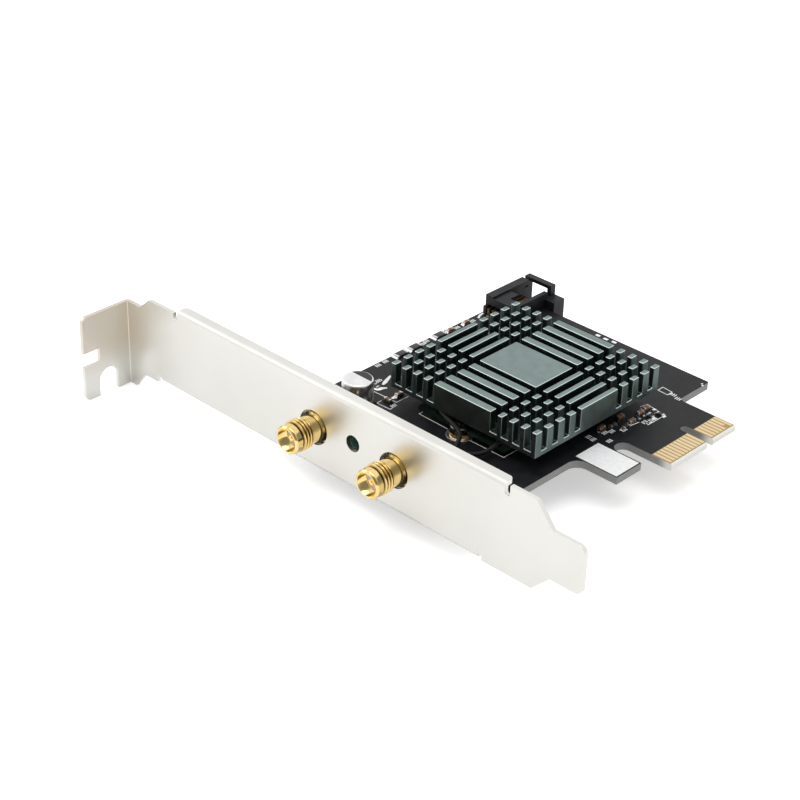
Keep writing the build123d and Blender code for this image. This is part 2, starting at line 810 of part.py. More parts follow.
def capacitor_can():
    # A drawn can with a rounded top edge and a rolled-in groove above its base.
    low = top + capacitor_base_height
    high = top + capacitor_height
    radius = capacitor_diameter / 2
    groove_z = low + capacitor_groove_rise
    section = make_face(Polyline(
        (0, low), (radius, low), (radius, groove_z), (radius - capacitor_groove, groove_z + capacitor_groove),
        (radius, groove_z + 2 * capacitor_groove), (radius, high), (0, high), close=True))
    can = revolve(Plane((capacitor_x, capacitor_y, 0), x_dir=(1, 0, 0), z_dir=(0, -1, 0)) * section,
                  Axis((capacitor_x, capacitor_y, 0), (0, 0, 1)))
    return fillet(can.edges().group_by(Axis.Z)[-1], capacitor_edge)


def capacitor_base():
    half = capacitor_base_side / 2
    outline = rectangle(capacitor_x - half, capacitor_x + half, capacitor_y - half, capacitor_y + half)
    marked = [(capacitor_x + half, capacitor_y - half), (capacitor_x + half, capacitor_y + half)]
    outline = chamfer(corners(outline, marked), capacitor_base_chamfer)
    low = top + capacitor_lead_thickness
    return extrude(Pos(0, 0, low) * outline, amount=capacitor_base_height - capacitor_lead_thickness)


def capacitor_leads():
    half = capacitor_base_side / 2
    leads = []
    for sign in (-1, 1):
        inner_x = capacitor_x + sign * capacitor_lead_gap / 2
        ends = sorted((inner_x, capacitor_x + sign * (half + capacitor_lead_reach)))
        leads.append(block(ends[0], ends[1], capacitor_y - capacitor_lead_width / 2,
                           capacitor_y + capacitor_lead_width / 2, top, top + capacitor_lead_thickness))
    return leads


def chip(x, y, turn, length, width, height, end):
    # One chip part: a body with a slightly larger plated cap at each end.
    body = Pos(0, 0, height / 2) * Box(length - end, width - 2 * chip_end_proud, height)
    cap_height = height + chip_end_proud
    for sign in (-1, 1):
        body += Pos(sign * (length - end) / 2, 0, cap_height / 2) * Box(end, width, cap_height)
    return Pos(x, y, top) * Rot(0, 0, turn) * body


def chip_row(edge_x, inward, places, length, width, height, end):
    return [chip(edge_x + inward * inset, y, turn, length, width, height, end) for inset, y, turn in places]


def chip_capacitors():
    size = (chip_length, chip_width, capacitor_chip_height, chip_end)
    placed = chip_row(free_edge_x, 1, free_edge_capacitors, *size)
    return placed + chip_row(shoulder_x, -1, shoulder_capacitors, *size)


def chip_resistors():
    size = (chip_length, chip_width, resistor_chip_height, chip_end)
    large_size = (large_chip_length, large_chip_width, large_chip_height, large_chip_end)
    placed = chip_row(free_edge_x, 1, large_resistors, *large_size)
    placed += chip_row(free_edge_x, 1, free_edge_resistors, *size)
    return placed + chip_row(shoulder_x, -1, shoulder_resistors, *size)


right_lead = coax_lead(right_lead_route)
left_lead = coax_lead(left_lead_route)
nodes = {
    "bracket": bracket(),
    "bracket_screws": [bracket_screw(x) for x in ear_places],
    "circuit_board": board(),
    "edge_contacts_top": edge_contacts(top, top_short_contact),
    "edge_contacts_bottom": edge_contacts(underside - contact_thickness, bottom_short_contact),
    "left_jack_body": jack_body(jack_places[0]),
    "left_jack_insulator": jack_insulator_tube(jack_places[0]),
    "left_jack_pin": jack_centre_pin(jack_places[0]),
    "right_jack_body": jack_body(jack_places[1]),
    "right_jack_insulator": jack_insulator_tube(jack_places[1]),
    "right_jack_pin": jack_centre_pin(jack_places[1]),
    "status_light_lens": led_lens(),
    "status_light_leads": led_leads(),
    "heatsink": heatsink(),
    "thermal_pad": thermal_pad(),
    "module_shield": module_shield(),
    "module_board": module_board(),
    "module_socket": module_socket(),
    "module_socket_contacts": module_socket_contacts(),
    "module_standoff": module_standoff(),
    "module_screw": module_screw(),
    "coax_receptacles": [coax_receptacle(x) for x in coax_places],
    "coax_plugs": [
        coax_plug(coax_places[0], right_lead_route, right_lead),
        coax_plug(coax_places[1], left_lead_route, left_lead),
    ],
    "right_coax_lead": right_lead,
    "left_coax_lead": left_lead,
    "lead_joints": [lead_joint(right_lead_route, right_lead), lead_joint(left_lead_route, left_lead)],
    "header_housing": header_housing(),
    "header_pins": header_pins(),
    "capacitor_can": capacitor_can(),
    "capacitor_base": capacitor_base(),
    "capacitor_leads": capacitor_leads(),
    "chip_capacitors": chip_capacitors(),
    "chip_resistors": chip_resistors(),
}

os.makedirs("parts", exist_ok=True)
for name, shape in nodes.items():
    if isinstance(shape, list):
        shape = Compound(children=shape)
    export_step(shape, "parts/" + name + ".step")
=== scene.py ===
import bmesh
import bpy
import math
from mathutils import Matrix, Vector


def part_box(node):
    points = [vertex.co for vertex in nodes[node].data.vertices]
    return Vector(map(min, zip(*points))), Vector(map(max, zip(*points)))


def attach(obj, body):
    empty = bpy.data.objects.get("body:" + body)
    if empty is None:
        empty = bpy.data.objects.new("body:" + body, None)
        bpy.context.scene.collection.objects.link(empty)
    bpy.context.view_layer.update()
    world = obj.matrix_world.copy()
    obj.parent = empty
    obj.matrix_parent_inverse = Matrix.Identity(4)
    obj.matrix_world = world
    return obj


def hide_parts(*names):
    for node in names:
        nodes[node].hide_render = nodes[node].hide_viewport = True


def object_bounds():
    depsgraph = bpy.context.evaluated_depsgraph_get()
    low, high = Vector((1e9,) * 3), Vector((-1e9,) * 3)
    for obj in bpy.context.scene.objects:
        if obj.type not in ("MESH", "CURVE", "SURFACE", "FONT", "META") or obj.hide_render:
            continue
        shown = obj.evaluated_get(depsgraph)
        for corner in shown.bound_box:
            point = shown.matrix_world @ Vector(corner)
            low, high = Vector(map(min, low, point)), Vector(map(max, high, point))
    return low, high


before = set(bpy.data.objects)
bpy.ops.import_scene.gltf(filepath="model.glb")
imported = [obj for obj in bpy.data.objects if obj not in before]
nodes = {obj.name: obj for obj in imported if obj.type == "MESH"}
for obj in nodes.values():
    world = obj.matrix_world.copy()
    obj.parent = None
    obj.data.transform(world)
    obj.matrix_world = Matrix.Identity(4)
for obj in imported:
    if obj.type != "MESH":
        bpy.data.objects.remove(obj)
cadLow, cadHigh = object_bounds()
scene = bpy.context.scene
mm = 0.001
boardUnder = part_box("circuit_board")[0].z
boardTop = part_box("circuit_board")[1].z
print("frame loaded,", len(nodes), "nodes")

# camera at the photograph's viewpoint
cameraSet = {
    "azimuth": 42.993,
    "elevation": 30.668,
    "roll": 1.700,
    "lens": 90.123,
    "place": (178.717, -278.948, 201.046),
}


def makeCamera(c):
    azimuth, elevation, roll = (math.radians(c[k]) for k in ("azimuth", "elevation", "roll"))
    back = Vector((
        math.sin(azimuth) * math.cos(elevation),
        -math.cos(azimuth) * math.cos(elevation),
        math.sin(elevation),
    ))
    level = Vector((0, 0, 1)).cross(back).normalized()
    upright = back.cross(level)
    right = math.cos(roll) * level + math.sin(roll) * upright
    up = -math.sin(roll) * level + math.cos(roll) * upright
    data = bpy.data.cameras.new("photoCamera")
    data.lens = c["lens"]
    data.sensor_width = 36
    data.clip_start = 0.01
    data.clip_end = 50
    eye = bpy.data.objects.new("photoCamera", data)
    turn = Matrix((right, up, back)).transposed().to_4x4()
    eye.matrix_world = Matrix.Translation(Vector(c["place"]) * mm) @ turn
    scene.collection.objects.link(eye)
    scene.camera = eye


makeCamera(cameraSet)
print("camera set")


# shader groups that several finishes share
def newGroup(name, inputs, outputs):
    group = bpy.data.node_groups.new(name, "ShaderNodeTree")
    for socketName, kind, value in inputs:
        socket = group.interface.new_socket(socketName, in_out="INPUT", socket_type=kind)
        socket.default_value = value
    for socketName, kind in outputs:
        group.interface.new_socket(socketName, in_out="OUTPUT", socket_type=kind)
    entry = group.nodes.new("NodeGroupInput")
    leave = group.nodes.new("NodeGroupOutput")
    return group, entry, leave


def objectPlace(tree, scale=None):
    place = tree.nodes.new("ShaderNodeTexCoord").outputs["Object"]
    if scale is None:
        return place
    mapping = tree.nodes.new("ShaderNodeMapping")
    mapping.inputs["Scale"].default_value = scale
    tree.links.new(place, mapping.inputs["Vector"])
    return mapping.outputs["Vector"]


def noiseNode(tree, vector, scale, detail=3.0, roughness=0.55):
    noise = tree.nodes.new("ShaderNodeTexNoise")
    noise.inputs["Detail"].default_value = detail
    noise.inputs["Roughness"].default_value = roughness
    tree.links.new(vector, noise.inputs["Vector"])
    if isinstance(scale, (int, float)):
        noise.inputs["Scale"].default_value = scale
    else:
        tree.links.new(scale, noise.inputs["Scale"])
    return noise.outputs["Fac"]


def mathNode(tree, operation, a, b=None):
    node = tree.nodes.new("ShaderNodeMath")
    node.operation = operation
    for socket, value in zip(node.inputs, (a, b)):
        if value is None:
            continue
        if isinstance(value, (int, float)):
            socket.default_value = value
        else:
            tree.links.new(value, socket)
    return node.outputs[0]


def rangeNode(tree, value, low, high, toLow=0.0, toHigh=1.0):
    node = tree.nodes.new("ShaderNodeMapRange")
    node.interpolation_type = "SMOOTHSTEP"
    node.inputs["From Min"].default_value = low
    node.inputs["From Max"].default_value = high
    for socketName, end in (("To Min", toLow), ("To Max", toHigh)):
        if isinstance(end, (int, float)):
            node.inputs[socketName].default_value = end
        else:
            tree.links.new(end, node.inputs[socketName])
    tree.links.new(value, node.inputs["Value"])
    return node.outputs["Result"]


def mixColour(tree, factor, a, b):
    node = tree.nodes.new("ShaderNodeMix")
    node.data_type = "RGBA"
    sockets = [s for s in node.inputs if s.type == "RGBA"]
    for socket, value in zip(sockets, (a, b)):
        if isinstance(value, (tuple, list)):
            socket.default_value = (*value[:3], 1)
        else:
            tree.links.new(value, socket)
    tree.links.new(factor, node.inputs[0])
    return next(s for s in node.outputs if s.type == "RGBA")


def surfaceFacts(tree):
    # where a point lies on the piece and which way its face looks
    coordinates = tree.nodes.new("ShaderNodeTexCoord")
    normal = tree.nodes.new("ShaderNodeSeparateXYZ")
    place = tree.nodes.new("ShaderNodeSeparateXYZ")
    tree.links.new(coordinates.outputs["Normal"], normal.inputs["Vector"])
    tree.links.new(coordinates.outputs["Object"], place.inputs["Vector"])
    return normal.outputs, place.outputs


def makeVariation():
    # slow and fine mottling: colour, roughness and a fine height
    group, entry, leave = newGroup(
        "finishVariation",
        [
            ("Dark", "NodeSocketColor", (0.2, 0.2, 0.2, 1)),
            ("Light", "NodeSocketColor", (0.3, 0.3, 0.3, 1)),
            ("Scale", "NodeSocketFloat", 400.0),
            ("Fine Scale", "NodeSocketFloat", 6000.0),
            ("Smooth", "NodeSocketFloat", 0.3),
            ("Rough", "NodeSocketFloat", 0.4),
        ],
        [("Color", "NodeSocketColor"), ("Roughness", "NodeSocketFloat"), ("Height", "NodeSocketFloat")],
    )
    place = objectPlace(group)
    slow = rangeNode(group, noiseNode(group, place, entry.outputs["Scale"]), 0.3, 0.7)
    fine = noiseNode(group, place, entry.outputs["Fine Scale"], 2.0)
    colour = mixColour(group, slow, entry.outputs["Dark"], entry.outputs["Light"])
    both = mathNode(group, "ADD", mathNode(group, "MULTIPLY", slow, 0.6), mathNode(group, "MULTIPLY", fine, 0.4))
    rough = rangeNode(group, both, 0.1, 0.9, entry.outputs["Smooth"], entry.outputs["Rough"])
    group.links.new(colour, leave.inputs["Color"])
    group.links.new(rough, leave.inputs["Roughness"])
    group.links.new(fine, leave.inputs["Height"])
    return group


def makeStreaks():
    # fine rolling or turning lines along one axis, as a height
    group, entry, leave = newGroup(
        "workedStreaks",
        [("Stretch", "NodeSocketVector", (60.0, 4000.0, 4000.0)), ("Strength", "NodeSocketFloat", 1.0)],
        [("Height", "NodeSocketFloat")],
    )
    mapping = group.nodes.new("ShaderNodeMapping")
    group.links.new(objectPlace(group), mapping.inputs["Vector"])
    group.links.new(entry.outputs["Stretch"], mapping.inputs["Scale"])
    lines = noiseNode(group, mapping.outputs["Vector"], 1.0, 4.0, 0.6)
    group.links.new(mathNode(group, "MULTIPLY", lines, entry.outputs["Strength"]), leave.inputs["Height"])
    return group


variation = makeVariation()
streaks = makeStreaks()


def newFinish(name, metallic=0.0, specular=0.5, **sockets):
    finish = bpy.data.materials.new(name)
    finish.use_nodes = True
    tree = finish.node_tree
    shader = tree.nodes["Principled BSDF"]
    shader.inputs["Metallic"].default_value = metallic
    shader.inputs["Specular IOR Level"].default_value = specular
    for socketName, value in sockets.items():
        shader.inputs[socketName.replace("_", " ")].default_value = value
    return finish, tree, shader


def bumpInto(tree, shader, height, distance, strength=0.5):
    bump = tree.nodes.new("ShaderNodeBump")
    bump.inputs["Strength"].default_value = strength
    bump.inputs["Distance"].default_value = distance
    tree.links.new(height, bump.inputs["Height"])
    tree.links.new(bump.outputs["Normal"], shader.inputs["Normal"])


def useGroup(tree, group, **values):
    node = tree.nodes.new("ShaderNodeGroup")
    node.node_tree = group
    for socketName, value in values.items():
        socket = node.inputs[socketName.replace("_", " ")]
        socket.default_value = (*value, 1) if socket.type == "RGBA" else value
    return node


def mottle(tree, shader, dark, light, smooth, rough, scale=350.0, fineScale=7000.0, bump=0.0, colour=True):
    node = useGroup(
        tree, variation, Dark=dark, Light=light, Scale=scale, Fine_Scale=fineScale, Smooth=smooth, Rough=rough)
    if colour:
        tree.links.new(node.outputs["Color"], shader.inputs["Base Color"])
    tree.links.new(node.outputs["Roughness"], shader.inputs["Roughness"])
    if bump:
        bumpInto(tree, shader, node.outputs["Height"], bump)
    return node


def plainFinish(name, dark, light, smooth, rough, metallic=0.0, scale=350.0, bump=0.0, specular=0.5):
    finish, tree, shader = newFinish(name, metallic, specular)
    mottle(tree, shader, dark, light, smooth, rough, scale, 8000.0, bump)
    return finish


plateSet = {
    "plate": ((0.755, 0.746, 0.706), (0.795, 0.788, 0.752)),
    "paintedReflection": (0.7, 0.65, 0.57),
    "paintedReflectionAlong": (-104.5, -96.5),
    "paintedReflectionAbove": (-4.0, 3.5),
    "stretch": (50.0, 2600.0, 2600.0),
}


def nickelFinish(p):
    # satin plate, with a painted reflection on the upper half of the tab: a warmer, darker tone in place of the
    # bracket's face seen in it
    finish, tree, shader = newFinish("nickelPlate", 1.0)
    node = mottle(tree, shader, *p["plate"], 0.34, 0.41, 60.0, 5000.0, 0.0, False)
    place = surfaceFacts(tree)[1]
    # painted reflection: the upper half of the tab's end takes the warmer, darker tone
    near = rangeNode(tree, place["X"], *(x * mm for x in p["paintedReflectionAlong"]), 1.0, 0.0)
    upper = rangeNode(tree, place["Z"], *(z * mm for z in p["paintedReflectionAbove"]))
    paintedReflection = mathNode(tree, "MULTIPLY", near, upper)
    tree.links.new(mixColour(tree, paintedReflection, node.outputs["Color"], p["paintedReflection"]), shader.inputs["Base Color"])
    lines = useGroup(tree, streaks, Stretch=p["stretch"])
    bumpInto(tree, shader, lines.outputs["Height"], 0.001 * mm, 0.3)
    return finish


def goldFinish():
    # bright gold plate, with painted shade where the per-vertex shade attribute says so
    finish, tree, shader = newFinish("goldPlate", 1.0)
    node = mottle(
        tree, shader, (0.88, 0.625, 0.23), (0.95, 0.725, 0.325), 0.07, 0.13, 300.0, 8000.0, 0.001 * mm, False)
    paintedShade = tree.nodes.new("ShaderNodeAttribute")
    paintedShade.attribute_name = "paintedShade"
    colour = mixColour(tree, paintedShade.outputs["Fac"], node.outputs["Color"], (0.028, 0.016, 0.005))
    tree.links.new(colour, shader.inputs["Base Color"])
    return finish


heatsinkSet = {
    "top": ((0.262, 0.322, 0.312), (0.3, 0.364, 0.354)),
    # top is the metal's own colour; sides and the front colour are painted shade on the walls, edges is a painted
    # highlight on the upper bevels, and the cut colour is painted shade down in the cuts
    "sides": (0.17, 0.213, 0.209),
    "front": (0.14, 0.175, 0.17),
    "edges": (0.72, 0.83, 0.81),
    "shadedCuts": (0.1, 0.128, 0.123),
    "shadedCutsBelow": (0.6, 0.15),
    "shadedCutsWithin": (0.3, 0.16),
}


def anodisedFinish(p, low, high):
    # satin grey-green metal, with painted shade on its walls (darker still on front-facing walls) and down in its
    # cuts, and a painted highlight along the upper edges
    finish, tree, shader = newFinish("anodisedGrey", 1.0, Specular_Tint=(0.35, 0.4, 0.39, 1))
    node = mottle(
        tree, shader, *p["top"], 0.34, 0.44, 500.0, 9000.0, 0.003 * mm, False)
    normal, place = surfaceFacts(tree)
    # painted highlight on bevels that turn upward; painted shade on the walls, darker on walls that face the
    # front, and in the cuts deeper than about half a millimetre below the top, away from the outer faces
    raised = rangeNode(tree, normal["Z"], 0.2, 0.5)
    notFlat = rangeNode(tree, normal["Z"], 0.9, 0.98, 1.0, 0.0)
    wall = rangeNode(tree, mathNode(tree, "ABSOLUTE", normal["Z"]), 0.08, 0.35, 1.0, 0.0)
    front = rangeNode(tree, normal["Y"], -0.9, -0.5, 1.0, 0.0)
    shade = mixColour(tree, front, p["sides"], p["front"])
    sides = mixColour(tree, wall, node.outputs["Color"], shade)
    edges = mixColour(tree, mathNode(tree, "MULTIPLY", raised, notFlat), sides, p["edges"])
    shadedCuts = rangeNode(tree, place["Z"], *(high.z - depth * mm for depth in p["shadedCutsBelow"]), 1.0, 0.0)
    for axis, start, end in (("X", low.x, high.x), ("Y", low.y, high.y)):
        offset = mathNode(tree, "ABSOLUTE", mathNode(tree, "SUBTRACT", place[axis], (start + end) / 2))
        reach = (end - start) / 2
        within = rangeNode(tree, offset, *(reach - inset * mm for inset in p["shadedCutsWithin"]), 1.0, 0.0)
        shadedCuts = mathNode(tree, "MULTIPLY", shadedCuts, within)
    tree.links.new(mixColour(tree, shadedCuts, edges, p["shadedCuts"]), shader.inputs["Base Color"])
    return finish


boardSet = {
    "lacquer": ((0.006, 0.0062, 0.0075), (0.0105, 0.0108, 0.0125)),
    "laminate": ((0.235, 0.24, 0.233), (0.38, 0.385, 0.367)),
    "tip": ((0.86, 0.85, 0.78), (0.95, 0.95, 0.9)),
    "bare": ((0.36, 0.235, 0.095), (0.46, 0.32, 0.15)),
    "tipAlong": (-3.4, -0.6),
    "bareAlong": (-4.85, -4.75),
    "bareAcross": (-13.2, -13.1),
}


def boardFinish(p):
    # black lacquer on both faces, bare tan strip under the contacts, laminate on the cut edges
    finish, tree, shader = newFinish("lacqueredLaminate", 0.0, 0.22)
    dark, light = p["lacquer"]
    lacquer = useGroup(
        tree, variation, Dark=dark, Light=light, Scale=500.0, Fine_Scale=9000.0, Smooth=0.4, Rough=0.52)
    normal, place = surfaceFacts(tree)
    facing = rangeNode(tree, mathNode(tree, "ABSOLUTE", normal["Z"]), 0.75, 0.9)
    layers = noiseNode(tree, objectPlace(tree, (300.0, 300.0, 9000.0)), 1.0, 4.0)
    laminate = mixColour(tree, layers, *p["laminate"])
    tip = mixColour(tree, layers, *p["tip"])
    cut = mixColour(tree, rangeNode(tree, place["X"], *(x * mm for x in p["tipAlong"])), laminate, tip)
    bare = mixColour(tree, layers, *p["bare"])
    strip = rangeNode(tree, place["X"], *(x * mm for x in p["bareAlong"]))
    tongue = rangeNode(tree, place["Y"], *(y * mm for y in p["bareAcross"]))
    face = mixColour(tree, mathNode(tree, "MULTIPLY", strip, tongue), lacquer.outputs["Color"], bare)
    tree.links.new(mixColour(tree, facing, cut, face), shader.inputs["Base Color"])
    rough = rangeNode(tree, facing, 0.0, 1.0, 0.75, lacquer.outputs["Roughness"])
    tree.links.new(rough, shader.inputs["Roughness"])
    bumpInto(tree, shader, lacquer.outputs["Height"], 0.003 * mm, 0.4)
    return finish


def standoffFinish(flangeTop):
    # tinned flange with a brass barrel above it
    finish, tree, shader = newFinish("tinnedBrass", 1.0)
    node = mottle(tree, shader, (0.66, 0.66, 0.65), (0.82, 0.82, 0.81), 0.25, 0.38, 900.0, 8000.0, 0.0, False)
    place = surfaceFacts(tree)[1]
    above = rangeNode(tree, place["Z"], flangeTop, flangeTop + 0.1 * mm)
    tree.links.new(mixColour(tree, above, node.outputs["Color"], (0.6, 0.37, 0.13)), shader.inputs["Base Color"])
    return finish


def canFinish(middle, chord):
    # drawn aluminium with a printed black segment on its top
    finish, tree, shader = newFinish("drawnCan", 1.0)
    node = mottle(
        tree, shader, (0.8, 0.8, 0.8), (0.88, 0.88, 0.88), 0.26, 0.38, 500.0, 9000.0, 0.002 * mm, False)
    normal, place = surfaceFacts(tree)
    onTop = mathNode(tree, "GREATER_THAN", normal["Z"], 0.97)
    beyond = mathNode(tree, "GREATER_THAN", place["Y"], middle + chord)
    printed = mathNode(tree, "MULTIPLY", onTop, beyond)
    colour = mixColour(tree, printed, node.outputs["Color"], (0.012, 0.012, 0.013))
    tree.links.new(colour, shader.inputs["Base Color"])
    tree.links.new(mathNode(tree, "SUBTRACT", 1.0, printed), shader.inputs["Metallic"])
    tree.links.new(rangeNode(tree, printed, 0.0, 1.0, node.outputs["Roughness"], 0.5), shader.inputs["Roughness"])
    return finish


finishes = {
    "nickel": nickelFinish(plateSet),
    "anodised": anodisedFinish(heatsinkSet, *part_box("heatsink")),
    "board": boardFinish(boardSet),
    "gold": goldFinish(),
    "fingers": plainFinish("goldFingers", (0.8, 0.62, 0.36), (0.85, 0.68, 0.42), 0.26, 0.32, 1.0, 90.0),
    # a darkened copy of the gold: painted shade for plated parts that sit in shade, the header pins down in their
    # housing and the receptacles under the heatsink
    "shadedGold": plainFinish("shadedGold", (0.16, 0.11, 0.05), (0.25, 0.17, 0.08), 0.3, 0.42, 1.0, 900.0),
    "blackPlastic": plainFinish(
        "mouldedBlack", (0.0075, 0.008, 0.0105), (0.013, 0.014, 0.018), 0.4, 0.55, 0.0, 300.0, 0.005 * mm, 0.25),
    "tin": plainFinish("tinPlate", (0.64, 0.64, 0.63), (0.78, 0.78, 0.77), 0.25, 0.4, 1.0, 900.0),
    "solder": plainFinish("solderSilver", (0.78, 0.78, 0.77), (0.9, 0.9, 0.89), 0.2, 0.36, 1.0, 1500.0),
    "steel": plainFinish("plainSteel", (0.42, 0.42, 0.41), (0.56, 0.56, 0.55), 0.25, 0.4, 1.0, 900.0),
    "darkSteel": plainFinish("darkSteel", (0.1, 0.1, 0.1), (0.17, 0.17, 0.165), 0.2, 0.34, 1.0, 900.0),
    "insulator": plainFinish("whiteInsulator", (0.87, 0.86, 0.82), (0.92, 0.91, 0.88), 0.35, 0.5, 0.0, 900.0),
    "lens": plainFinish(
        "greenLens", (0.002, 0.022, 0.012), (0.005, 0.045, 0.027), 0.16, 0.24, 0.0, 500.0, 0.0, 0.1),
    "sleeve": plainFinish(
        "leadJacket", (0.006, 0.006, 0.006), (0.011, 0.011, 0.011), 0.4, 0.52, 0.0, 900.0, 0.0, 0.2),
    "ink": plainFinish("whiteInk", (0.84, 0.845, 0.85), (0.91, 0.915, 0.92), 0.5, 0.65, 0.0, 1500.0, 0.0, 0.3),
    "pad": plainFinish("siliconePad", (0.28, 0.3, 0.32), (0.36, 0.38, 0.4), 0.6, 0.75, 0.0, 900.0),
    "greenLacquer": plainFinish(
        "greenLacquer", (0.005, 0.014, 0.01), (0.009, 0.024, 0.017), 0.35, 0.5, 0.0, 600.0, 0.0, 0.3),
    "ceramic": plainFinish("chipCeramic", (0.2, 0.085, 0.03), (0.29, 0.13, 0.055), 0.4, 0.55, 0.0, 1500.0),
    "resistor": plainFinish("chipBlack", (0.018, 0.016, 0.017), (0.034, 0.031, 0.032), 0.35, 0.5, 0.0, 1500.0),
}
print("finishes made,", len(finishes))


# mesh work
def addPiece(name, mesh, finish, replaced=(), sharp=35.0):
    piece = bpy.data.objects.new(name, mesh)
    scene.collection.objects.link(piece)
    mesh.materials.clear()
    mesh.materials.append(finish)
    if sharp:
        mesh.shade_smooth()
        mesh.set_sharp_from_angle(angle=math.radians(sharp))
    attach(piece, "root")
    if replaced:
        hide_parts(*replaced)
    return piece


def cleanCopy(nodeName):
    # the node's shape with its loose triangles joined and its flat faces made whole
    shape = bmesh.new()
    shape.from_mesh(nodes[nodeName].data)
    bmesh.ops.remove_doubles(shape, verts=shape.verts, dist=0.002 * mm)
    bmesh.ops.dissolve_limit(
        shape, angle_limit=math.radians(0.5), use_dissolve_boundaries=False,
        verts=shape.verts, edges=shape.edges, delimit=set())
    return shape


def meshFrom(shape, name, outward=False):
    if outward:
        bmesh.ops.recalc_face_normals(shape, faces=shape.faces)
    mesh = bpy.data.meshes.new(name)
    shape.to_mesh(mesh)
    shape.free()
    return mesh


def plainMesh(holder):
    # the evaluated object as a mesh of its own, with the holder taken away
    graph = bpy.context.evaluated_depsgraph_get()
    mesh = bpy.data.meshes.new_from_object(holder.evaluated_get(graph))
    bpy.data.objects.remove(holder)
    return mesh


def bevelled(mesh, width, segments=2, angle=40.0):
    # eased edges, with the flat faces kept flat to the eye
    mesh.shade_smooth()
    holder = bpy.data.objects.new("bevelHolder", mesh)
    scene.collection.objects.link(holder)
    bevel = holder.modifiers.new("edges", "BEVEL")
    bevel.width = width
    bevel.segments = segments
    bevel.limit_method = "ANGLE"
    bevel.angle_limit = math.radians(angle)
    bevel.use_clamp_overlap = True
    even = holder.modifiers.new("normals", "WEIGHTED_NORMAL")
    even.mode = "FACE_AREA"
    return plainMesh(holder)


def dressNode(nodeName, pieceName, finish, slot, edge=0.0):
    mesh = meshFrom(cleanCopy(nodeName), pieceName)
    if edge:
        mesh = bevelled(mesh, edge * mm)
        mesh.name = pieceName
    return addPiece(pieceName, mesh, finish, [nodeName], None if edge else 35.0)


def paintNode(nodeName, finish):
    mesh = nodes[nodeName].data
    mesh.materials.clear()
    mesh.materials.append(finish)


# sheet metal, board and mouldings keep the solids' shapes, with their edges eased
capacitorMiddle = sum(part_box("capacitor_can"), Vector()) / 2
dressed = [
    ("bracket", "bracketSheet", finishes["nickel"], "plated_steel", 0.09),
    ("circuit_board", "circuitBoard", finishes["board"], "board_black", 0.0),
    ("heatsink", "heatsinkBody", finishes["anodised"], "heatsink_grey", 0.16),
    ("header_housing", "headerShell", finishes["blackPlastic"], "black_plastic", 0.08),
    ("capacitor_base", "capacitorFoot", finishes["blackPlastic"], "black_plastic", 0.08),
    ("capacitor_can", "capacitorShell", canFinish(capacitorMiddle.y, 0.95 * mm), "can_aluminium", 0.0),
    ("status_light_lens", "statusLens", finishes["lens"], "light_green", 0.0),
    ("bracket_screws", "bracketScrews", finishes["steel"], "screw_steel", 0.05),
    ("module_shield", "moduleShield", finishes["tin"], "shield_steel", 0.05),
    ("module_socket", "moduleSocket", finishes["blackPlastic"], "black_plastic", 0.06),
    ("module_board", "moduleBoard", finishes["greenLacquer"], "module_green", 0.0),
    ("module_standoff", "moduleStandoff", standoffFinish(boardTop + 0.3 * mm), "standoff_brass", 0.05),
    ("module_screw", "moduleScrew", finishes["darkSteel"], "screw_steel", 0.04),
    ("coax_receptacles", "coaxReceptacles", finishes["shadedGold"], "contact_gold", 0.03),
    ("coax_plugs", "coaxPlugs", finishes["steel"], "tinned", 0.04),
    ("lead_joints", "leadJoints", finishes["solder"], "solder", 0.12),
    ("thermal_pad", "thermalPad", finishes["pad"], "pad_grey", 0.05),
    ("left_jack_insulator", "leftJackInsulator", finishes["insulator"], "insulator_white", 0.04),
    ("right_jack_insulator", "rightJackInsulator", finishes["insulator"], "insulator_white", 0.04),
    ("left_jack_pin", "leftJackPin", finishes["gold"], "jack_gold", 0.0),
    ("right_jack_pin", "rightJackPin", finishes["gold"], "jack_gold", 0.0),
]
for entry in dressed:
    dressNode(*entry)
painted = {
    "edge_contacts_top": "fingers", "edge_contacts_bottom": "fingers", "status_light_leads": "tin",
    "header_pins": "shadedGold", "capacitor_leads": "tin", "module_socket_contacts": "tin",
}
for nodeName, finishName in painted.items():
    paintNode(nodeName, finishes[finishName])
print("solids dressed,", len(dressed), "and painted,", len(painted))

# coax leads on smooth lines through the solids' route points
leadSet = {
    "diameter": 0.9,
    "right": [
        (-42.3, -31.3, 3.25), (-39.2, -33.1, 3.3), (-35.4, -34.6, 3.8), (-31.6, -36.1, 3.6),
        (-30.3, -39.2, 2.55), (-30.2, -42.6, 1.75), (-30.1, -45.2, 1.55),
    ],
    "left": [
        (-25.5, -31.7, 3.25), (-24.9, -34.0, 3.1), (-26.1, -36.5, 1.75), (-29.3, -38.4, 1.3),
        (-35.0, -40.2, 1.28), (-41.6, -41.6, 1.3), (-47.2, -43.2, 1.32), (-50.6, -44.9, 1.4),
    ],
}


def makeLead(side):
    curve = bpy.data.curves.new(side + "Lead", "CURVE")
    curve.dimensions = "3D"
    curve.resolution_u = 12
    curve.bevel_depth = leadSet["diameter"] / 2 * mm
    curve.bevel_resolution = 5
    curve.use_fill_caps = True
    spline = curve.splines.new("NURBS")
    route = leadSet[side]
    spline.points.add(len(route) - 1)
    for point, place in zip(spline.points, route):
        point.co = (*(Vector(place) * mm), 1)
    spline.order_u = 3
    spline.use_endpoint_u = True
    holder = bpy.data.objects.new("leadHolder", curve)
    scene.collection.objects.link(holder)
    mesh = plainMesh(holder)
    mesh.name = side + "CoaxLead"
    addPiece(side + "CoaxLead", mesh, finishes["sleeve"], [side + "_coax_lead"])


for side in ("left", "right"):
    makeLead(side)
print("leads laid")

